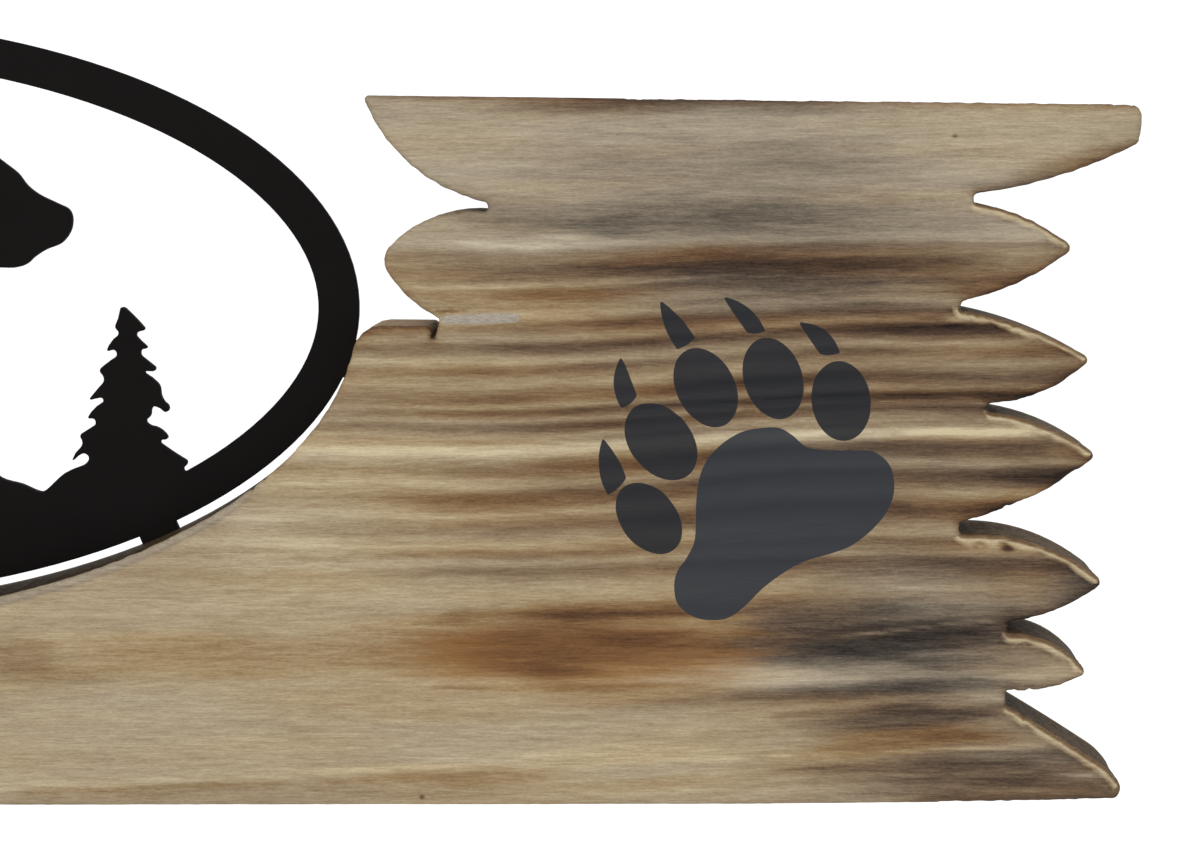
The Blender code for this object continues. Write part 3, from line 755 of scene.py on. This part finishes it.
# %% [markdown]
# The edges look burnt first and sanded after, and their colour also holds painted light and shade. A
# thin dark line along every edge is painted shade on the rounded rim. It is wider under the splinters,
# where it is scorch and painted shade, and at their tips and along the top, where it is burn. The
# splinters' upper edges were sanded down to tan wood, and that tan band, which faces up, is also a
# painted highlight. It has a faint line inside it and a little char on the corner, which is burn and
# painted shade of the rounded corner. Beside the scoop the sanded band faces up and is painted pale
# grey as a highlight. A point's distance from the edge and the way the edge faces say what it gets.

# %% The tone along the edges
SPLINTERS = (372, 392)
FACING_UP, FACING_DOWN = (0.2, 0.7), (0.1, 0.8)
SHOULDER_ALONG = ((196, 203), (230, 236))
SHOULDER_HEIGHT = ((112, 120), (138, 142))
TOP_EDGE = (BOARD_HIGH[2] - 6, BOARD_HIGH[2] - 3)
TIPS = (425, 448)
UNDER_TOP_EDGE = (8, 12)
BESIDE_SCOOP = (156, 178)

# How dark each burn and each painted edge shade is, and how far in it fades, in millimetres.
PAINTED_EDGE_SHADE, SCORCH_AND_SHADE_UNDER, BURNT_TOP = (0.14, 0.7), (0.24, 3.0), (0.16, 1.4)
BURNT_SHOULDER, BURNT_TIPS = (0.2, 2.6), (0.06, 5)
BURN_AND_SHADE_WARMS = 1.2

# The sanded band, which faces up and is also a painted highlight: how ragged it is, its tan, the line
# inside it and the char on its corner, which is burn and painted shade of the rounded corner.
SANDED_AND_LIT_RAGGED = 0.3
TAN_WIDTH, TAN_TONE, TAN_WARMTH = 2.4, 0.1, 0.75
INNER_LINE_AT, INNER_LINE_WIDTH, INNER_LINE_TONE = 3.0, 0.5, 0.1
CHAR_AND_SHADE_WIDTH, CHAR_AND_SHADE_SOFT, CHAR_AND_SHADE_TONE = 0.95, 0.3, 0.52
# The up-facing band beside the scoop is sanded wood painted pale grey as a highlight: its width,
# warmth, tone, and the darker tone further in.
PALE_WIDTH, PALE_WARMTH = 2.5, -0.2
PALE_TONE, PALE_INNER_TONE, PALE_INNER_AT = 0.36, 0.14, (1.2, 2.4)
BAND_CRISPNESS = 6


def band(gap, width):
    """1 along the edge and 0 further in than width, with a fairly crisp border."""
    return np.exp(-((gap / width) ** BAND_CRISPNESS))


def burn_and_shade(gap, strength, reach):
    """A darkening that fades away from the edge, for the burns and for the painted shade along the
    edges.
    """
    return strength * np.exp(-gap / reach)


def edge_tone(tone, warmth, gap, facing, u, v):
    """The thin painted shade along the edges, scorch and burns on some of them, and where they were
    sanded pale after that, which also paints a highlight where they face up.
    """
    end = smooth_step(np.abs(u), *SPLINTERS)
    up = smooth_step(facing[:, 1], *FACING_UP)
    down = smooth_step(-facing[:, 1], *FACING_DOWN)
    shoulder = up * between(np.abs(u), *SHOULDER_ALONG) * between(v, *SHOULDER_HEIGHT)
    burnt_and_shaded = burn_and_shade(gap, *PAINTED_EDGE_SHADE) + end * down * burn_and_shade(gap, *SCORCH_AND_SHADE_UNDER)
    burnt_and_shaded += smooth_step(v, *TOP_EDGE) * burn_and_shade(gap, *BURNT_TOP)
    burnt_and_shaded += shoulder * burn_and_shade(gap, *BURNT_SHOULDER)
    burnt_and_shaded += smooth_step(np.abs(u), *TIPS) * burn_and_shade(gap, *BURNT_TIPS)
    tone = tone + burnt_and_shaded
    warmth = warmth + BURN_AND_SHADE_WARMS * burnt_and_shaded
    # The up-facing splinter edges get a tan band: sanded wood painted lighter as a highlight, with char
    # on the corner that is burn and painted shade.
    sanded_and_lit = end * up * smooth_step(BOARD_HIGH[2] - v, *UNDER_TOP_EDGE)
    ragged = 1 + SANDED_AND_LIT_RAGGED * wander(u, v, "sanded and lit")
    inner_line = np.exp(-(((gap - INNER_LINE_AT * ragged) / INNER_LINE_WIDTH) ** 2))
    tone = tone + INNER_LINE_TONE * sanded_and_lit * inner_line
    tan = sanded_and_lit * band(gap, TAN_WIDTH * ragged)
    char_and_shade = smooth_step(CHAR_AND_SHADE_WIDTH * ragged - gap, -CHAR_AND_SHADE_SOFT, CHAR_AND_SHADE_SOFT)
    tone = tone * (1 - tan) + (TAN_TONE + CHAR_AND_SHADE_TONE * char_and_shade) * tan
    warmth = warmth * (1 - tan) + TAN_WARMTH * tan
    # Beside the scoop the up-facing rounded band is painted pale grey as a highlight.
    pale = up * (1 - smooth_step(np.abs(u), *BESIDE_SCOOP)) * band(gap, PALE_WIDTH)
    pale_tone = PALE_TONE + PALE_INNER_TONE * smooth_step(gap, *PALE_INNER_AT)
    tone = tone * (1 - pale) + pale_tone * pale
    warmth = warmth * (1 - pale) + PALE_WARMTH * pale
    return tone, warmth


# %% The tone of the sawn walls
WALL_SCOOP = (176, 190)
WALL_SHOULDER, WALL_SHOULDER_ABOVE = ((194, 200), (234, 240)), (108, 116)
WALL_LOW = (40, 60)
# Beside the scoop the wall lies under the steel's edge, and its extra darkness there is painted shade.
WALL_TONE, SCOOP_DARKER, SHOULDER_PALER, LOW_DARKER = 0.46, 0.22, 0.4, 0.14


def wall_tone(outline):
    """How dark each point of the sawn edge is: darker beside the scoop, where it is painted shade under
    the steel's edge, paler at the shoulders and darker low on the board.
    """
    u, v = np.abs(outline[:, 0]), outline[:, 1]
    scoop = 1 - smooth_step(u, *WALL_SCOOP)
    shoulder = between(u, *WALL_SHOULDER) * smooth_step(v, *WALL_SHOULDER_ABOVE)
    low = 1 - smooth_step(v, *WALL_LOW)
    return WALL_TONE + SCOOP_DARKER * scoop - SHOULDER_PALER * shoulder + LOW_DARKER * low


# %% [markdown]
# Now the rows of the sawn edge and the face come together in one mesh. The rows start on the
# tray's own rim, and their last row is the face's outline, so the piece is closed. What the shader
# needs to know is kept on the mesh: tone, warmth and resin for each point, and for each face whether
# it is sawn, painted, painted thinly, as the pad is, or filled.

# %% Build the board
EDGE_ROWS = 8

# Shares of the way from the back to the front: where the saw marks reach their full depth, and how
# far the chips reach back from the front corner.
MARKS_FULL_AT = 1 / 3
CHIPS_REACH = 1 / 3

face_u, face_v = board_flat[:, 0], board_flat[:, 1]
face_gap, face_facing = to_edge(board_flat, board_finder)
rim_count = len(front_outline)
face_gap[:rim_count] = 0
face_depth, face_scorch_and_shade = furrows_at(face_u, face_v)
face_y = FRONT + face_depth + low_waves(face_u, face_v) + quarter_round(face_gap, EDGE_ROUND)

edge_rows = []
for row in range(1, EDGE_ROWS):
    share = row / EDGE_ROWS
    y = LEVEL_OF_POCKETS + (face_y[:rim_count] - LEVEL_OF_POCKETS) * share
    depth_here = LEVEL_OF_POCKETS * (1 - share) + FRONT * share
    bite = saw_marks(board_outline, depth_here) * min(1, share / MARKS_FULL_AT)
    chipped = chips(board_outline) * max(0, 1 - (1 - share) / CHIPS_REACH)
    pushed = board_outline + inward * bite[:, None] + inward * chipped[:, None]
    edge_rows.append(np.column_stack([pushed[:, 0], y, pushed[:, 1]]))

tray.verts.index_update()
tray_points = np.array([v.co for v in tray.verts])
rim_index = np.array([v.index for v in board_rim])
first_row = len(tray_points)
first_face = first_row + rim_count * (EDGE_ROWS - 1)
points = np.concatenate([tray_points, *edge_rows, np.column_stack([face_u, face_y, face_v])])
rows = [rim_index]
rows += [first_row + rim_count * k + np.arange(rim_count) for k in range(EDGE_ROWS - 1)]
rows.append(first_face + np.arange(rim_count))
faces = [[v.index for v in face.verts] for face in tray.faces]
tray_faces = len(faces)
for below, above in zip(rows, rows[1:]):
    faces += np.column_stack([below, np.roll(below, -1), np.roll(above, -1), above]).tolist()
wall_faces = len(faces) - tray_faces
faces += (board_triangles + first_face).tolist()
board = mesh_piece("pine_plank", points, faces, sharp=50)
print("board piece:", len(board.data.polygons), "faces,", len(board.data.vertices), "points")


# %% What the shader is told
BACK_TONE, BEHIND_WARMTH = 0.3, 0.4
# Middle u and v, half length, half height, tilt, and how much resin.
RESIN = (
    (276, 20, 54, 11, 0, 0.75),
    (240, 21, 14, 8, 0, 0.3),
)


def keep(piece, name, values, domain="POINT"):
    """Stores one number for each point or face of a piece."""
    attribute = piece.data.attributes.new(name, "FLOAT", domain)
    attribute.data.foreach_set("value", np.asarray(values, np.float32))


tone, warmth = face_tone(face_u, face_v, face_scorch_and_shade)
tone, warmth = edge_tone(tone, warmth, face_gap, face_facing, face_u, face_v)
sawn_tone = wall_tone(board_outline)
tray_tone = np.full(len(tray_points), BACK_TONE)
tray_tone[rim_index] = sawn_tone
keep(board, "tone", np.concatenate([tray_tone, np.tile(sawn_tone, EDGE_ROWS - 1), tone]))
keep(board, "warmth", np.concatenate([np.full(first_face, BEHIND_WARMTH), warmth]))
resin_there = sum(share * patch(face_u, face_v, *place) for *place, share in RESIN)
keep(board, "resin", np.concatenate([np.zeros(first_face), resin_there]))
flat_back = np.array([abs(face.normal.y) > 0.5 for face in tray.faces])
middles = board_flat[board_triangles].mean(axis=1)
not_face = np.zeros(tray_faces + wall_faces)
sawn = np.concatenate([~flat_back, np.ones(wall_faces), np.zeros(len(middles))])
keep(board, "sawn", sawn, "FACE")
keep(board, "painted", np.concatenate([not_face, inside(middles, paw_loops)]), "FACE")
keep(board, "thin", np.concatenate([not_face, inside(middles, paw_loops[-1:])]), "FACE")
keep(board, "filler", np.concatenate([not_face, inside(middles, [FILLER])]), "FACE")
print("tone from", round(float(tone.min()), 2), "to", round(float(tone.max()), 2))

# %% [markdown]
# Shaders are sums, and sums read best as sums. The class below wraps one output of a shader node, so
# that Python's own signs add the Math nodes. Any other node comes from Finish.node, which takes the
# node's type, its settings and what goes into its sockets.


# %% Shader sums in Python
class Signal:
    """A value that varies over a surface: one output of a shader node."""

    def __init__(self, finish, socket):
        self.finish = finish
        self.socket = socket

    def sum(self, operation, first, second):
        return self.finish.node("ShaderNodeMath", {"operation": operation}, {0: first, 1: second})

    def __add__(self, other):
        return self.sum("ADD", self, other)

    def __sub__(self, other):
        return self.sum("SUBTRACT", self, other)

    def __rsub__(self, other):
        return self.sum("SUBTRACT", other, self)

    def __mul__(self, other):
        return self.sum("MULTIPLY", self, other)

    __radd__ = __add__
    __rmul__ = __mul__


class Finish:
    """A material that is built node by node around one Principled shader."""

    def __init__(self, name):
        self.material = bpy.data.materials.new(name)
        self.material.use_nodes = True
        self.tree = self.material.node_tree
        self.shader = self.tree.nodes["Principled BSDF"]

    def node(self, kind, settings=None, inputs=None, output=0):
        """Adds a node and returns one of its outputs."""
        node = self.tree.nodes.new(kind)
        for name, value in (settings or {}).items():
            if name == "stops":
                set_stops(node.color_ramp, value)
            else:
                setattr(node, name, value)
        for place, value in (inputs or {}).items():
            self.feed(node.inputs[place], value)
        return Signal(self, node.outputs[output])

    def feed(self, socket, value):
        """Links a signal to a socket, or sets a plain value on it."""
        if isinstance(value, Signal):
            self.tree.links.new(value.socket, socket)
        else:
            socket.default_value = value

    def surface(self, values):
        """Feeds the shader itself, by the names of its sockets."""
        for name, value in values.items():
            self.feed(self.shader.inputs[name], value)

    def told(self, name):
        """A number that the mesh keeps for each point or face."""
        return self.node("ShaderNodeAttribute", {"attribute_name": name}, output="Fac")

    def mix(self, share, first, second):
        """The first colour at share 0, the second at 1."""
        return self.node("ShaderNodeMix", {"data_type": "RGBA"}, {0: share, 6: first, 7: second}, 2)

    def ramp(self, value, stops):
        """A colour for each value, read off a row of stops."""
        return self.node("ShaderNodeValToRGB", {"stops": stops}, {"Fac": value})

    def noise(self, place, size, detail=2.0, roughness=0.5):
        """Noise from 0 to 1 whose blotches measure size along u, y and v, in millimetres."""
        inverse = tuple(1 / (MM * s) for s in size)
        scaled = self.node("ShaderNodeVectorMath", {"operation": "MULTIPLY"}, {0: place, 1: inverse})
        inputs = {"Vector": scaled, "Scale": 1.0, "Detail": detail, "Roughness": roughness}
        return self.node("ShaderNodeTexNoise", {}, inputs)


def set_stops(ramp, stops):
    """Gives a ramp its stops: a position and a colour as photographed each."""
    while len(ramp.elements) < len(stops):
        ramp.elements.new(1.0)
    for element, (position, *colour) in zip(ramp.elements, stops):
        element.position = position
        element.color = seen(*colour)


# %% [markdown]
# Colours are written as they look in a photograph, from 0 to 255. The studio below lights a surface
# a little more than a plain white sky would, so what the shader gets is the linear colour divided
# by that gain.

# %% Colours as photographed
STUDIO_GAIN = 1.5


def seen(red, green, blue):
    """The surface colour that comes out like this in the studio's light."""
    shown = [channel / 255 for channel in (red, green, blue)]
    linear = [((c + 0.055) / 1.055) ** 2.4 if c > 10 / 255 else c / 12.92 for c in shown]
    return (*[value / STUDIO_GAIN for value in linear], 1.0)


# %% [markdown]
# The wood's colour is read off three rows of stops, grey, warm and amber, by the tone that the mesh
# keeps. Warmth mixes the first two and resin brings in the third. Fine grain comes on top: noise
# drawn out long and thin along the board. The same grain makes a slight bump and a slight change in
# roughness. The sawn edges have their own row, from tan to char, broken up by fibres. The filler is
# pale and speckled. The print's paint is lighter over pale wood and where it is thin, on the pad.

# %% The pine
# How strongly each noise shows in the tone, how resin calms it, and what each adds to the relief.
GRAIN_TONE, STREAKS_TONE, SPECKS_TONE, FIBRES_TONE = 0.36, 0.2, 0.28, 1.3
RESIN_CALMS = 0.35
GRAIN_RELIEF, SPECKS_RELIEF, FIBRES_RELIEF = 0.5, 0.3, 1.2
# The paint darkens over dark wood, so over the furrows it carries the painted shade that the wood's
# tone holds there.
PAINT_LIGHTNESS, THIN_PAINT_LIGHTER, DARK_WOOD_DARKER = 0.22, 0.4, 0.15
PAINT_HIDES = 0.97

pine = Finish("scorched_pine")
place = pine.node("ShaderNodeTexCoord", output="Object")
grain = pine.noise(place, (7, 2.0, 0.5), 3.0)
streaks = pine.noise(place, (28, 5.0, 1.7), 2.0)
specks = pine.noise(place, (1.5, 0.8, 0.35), 2.0, 0.6)
resin = pine.told("resin")
figure = GRAIN_TONE * (grain - 0.5) + STREAKS_TONE * (streaks - 0.5) + SPECKS_TONE * (specks - 0.5)
tone_here = pine.told("tone") + figure * (1 - RESIN_CALMS * resin)

warm_wood = pine.ramp(tone_here, (
    (0, 206, 190, 154), (0.22, 172, 152, 117), (0.42, 144, 119, 84),
    (0.62, 116, 86, 56), (0.8, 82, 57, 38), (1, 38, 27, 20),
))
grey_wood = pine.ramp(tone_here, (
    (0, 202, 190, 166), (0.22, 172, 159, 137), (0.42, 142, 129, 111),
    (0.62, 106, 96, 83), (0.8, 70, 63, 55), (1, 33, 29, 26),
))
amber_wood = pine.ramp(tone_here, (
    (0.1, 186, 146, 96), (0.45, 140, 98, 56), (0.8, 84, 52, 30),
))
wood = pine.mix(resin, pine.mix(pine.told("warmth"), grey_wood, warm_wood), amber_wood)

fibres = pine.noise(place, (2.4, 1.4, 0.7), 4.0, 0.7)
sawn_wood = pine.ramp(pine.told("tone") + FIBRES_TONE * (fibres - 0.5), (
    (0.05, 146, 122, 92), (0.25, 120, 98, 68), (0.5, 82, 64, 40),
    (0.8, 44, 33, 21),
))
filler = pine.ramp(specks, ((0.3, 146, 134, 118), (0.7, 176, 167, 155)))
bare = pine.mix(pine.told("sawn"), wood, sawn_wood)
mended = pine.mix(pine.told("filler"), bare, filler)
lightness = THIN_PAINT_LIGHTER * pine.told("thin") + PAINT_LIGHTNESS - DARK_WOOD_DARKER * tone_here
paint = pine.mix(lightness, seen(32, 34, 38), seen(62, 66, 73))
covered = pine.mix(pine.told("painted") * PAINT_HIDES, mended, paint)
relief = grain * GRAIN_RELIEF + specks * SPECKS_RELIEF + pine.told("sawn") * fibres * FIBRES_RELIEF
bump = pine.node("ShaderNodeBump", {}, {"Strength": 0.35, "Distance": 0.0004, "Height": relief})
roughness = 0.58 + 0.22 * grain
pine.surface({"Base Color": covered, "Roughness": roughness, "Specular IOR Level": 0.1, "Normal": bump})
board.data.materials.append(pine.material)
print("pine:", len(pine.tree.nodes), "nodes")

# %% [markdown]
# The steel has a fine-textured black powder coat. It is nearly black, with a faint sheen, and its
# skin is full of tiny grains that only show where light grazes them. So the colour barely varies
# and the life is in roughness and bump.

# %% The black coat
coat = Finish("black_powder_coat")
place = coat.node("ShaderNodeTexCoord", output="Object")
skin = coat.noise(place, (0.9, 0.9, 0.9), 3.0, 0.6)
cloud = coat.noise(place, (38, 38, 38), 2.0)
black = coat.ramp(0.5 * skin + 0.5 * cloud, (
    (0.35, 11, 9, 8), (0.65, 17, 14, 13),
))
roughness = 0.5 + 0.2 * skin
bump = coat.node("ShaderNodeBump", {}, {"Strength": 0.3, "Distance": 0.0002, "Height": skin})
coat.surface({"Base Color": black, "Roughness": roughness, "Specular IOR Level": 0.05, "Normal": bump})
steel.data.materials.append(coat.material)
print("coat:", len(coat.tree.nodes), "nodes")

# %% [markdown]
# Each piece now takes its node's place: it rides on the one body, hides the node and names the
# record's slot for its finish.

# %% Put the pieces in the frame
for piece, node, slot in ((board, "pine_board", "pine"), (steel, "steel_oval", "black_steel")):
    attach(piece, "root")
    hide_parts(node)

# %% [markdown]
# The studio is white all round: an even white sky, a white floor well below, one broad lamp from the
# upper left that brings out the ribs, and nothing behind the plaque to throw a shadow on.

# %% Floor, sky and lamp
FLOOR_BELOW, FLOOR_SIZE, FLOOR_WHITE = 0.45, 30, 0.93
SKY_STRENGTH = 1.15

floor_mesh = bpy.data.meshes.new("studio_floor")
shape = bmesh.new()
bmesh.ops.create_grid(shape, x_segments=1, y_segments=1, size=FLOOR_SIZE)
shape.to_mesh(floor_mesh)
shape.free()
floor = bpy.data.objects.new("studio_floor", floor_mesh)
floor.location.z = -FLOOR_BELOW
bpy.context.scene.collection.objects.link(floor)

white = Finish("white_floor")
white.surface({"Base Color": (*[FLOOR_WHITE] * 3, 1), "Roughness": 0.9})
floor_mesh.materials.append(white.material)

sky = bpy.data.worlds.new("white_sky")
sky.use_nodes = True
sky.node_tree.nodes["Background"].inputs["Color"].default_value = (1, 1, 1, 1)
sky.node_tree.nodes["Background"].inputs["Strength"].default_value = SKY_STRENGTH
bpy.context.scene.world = sky

lamp = bpy.data.objects.new("key", bpy.data.lights.new("key", "AREA"))
lamp.data.size = 0.9
lamp.data.energy = 26
lamp.location = (-0.5, -1.5, 1.6)
lamp_aim = Vector((0.2, 0, 0.1))
lamp.rotation_euler = (lamp_aim - lamp.location).to_track_quat("-Z", "Y").to_euler()
bpy.context.scene.collection.objects.link(lamp)

# %% [markdown]
# The photograph looks straight at the board from about half a metre, from the oval's right, with
# the camera level. Its frame cuts through the oval, off to the left. A lens shift gives that crop
# without turning the camera, so the board's edges stay level as they are in the picture.

# %% Camera
IMAGE_WIDTH, IMAGE_HEIGHT = 1200, 844
LENS_PIXELS = 1379.4
AXIS_COLUMN, AXIS_ROW = 690, 150

camera = bpy.data.objects.new("camera", bpy.data.cameras.new("camera"))
camera.location = (0.312, -0.475, 0.187)
camera.rotation_euler = (math.radians(90), 0, 0)
camera.data.lens = LENS_PIXELS / IMAGE_WIDTH * camera.data.sensor_width
camera.data.shift_x = (IMAGE_WIDTH / 2 - AXIS_COLUMN) / IMAGE_WIDTH
camera.data.shift_y = -(IMAGE_HEIGHT / 2 - AXIS_ROW) / IMAGE_WIDTH
camera.data.clip_start = 0.01
bpy.context.scene.collection.objects.link(camera)
bpy.context.scene.camera = camera
bpy.context.scene.view_settings.view_transform = "Standard"
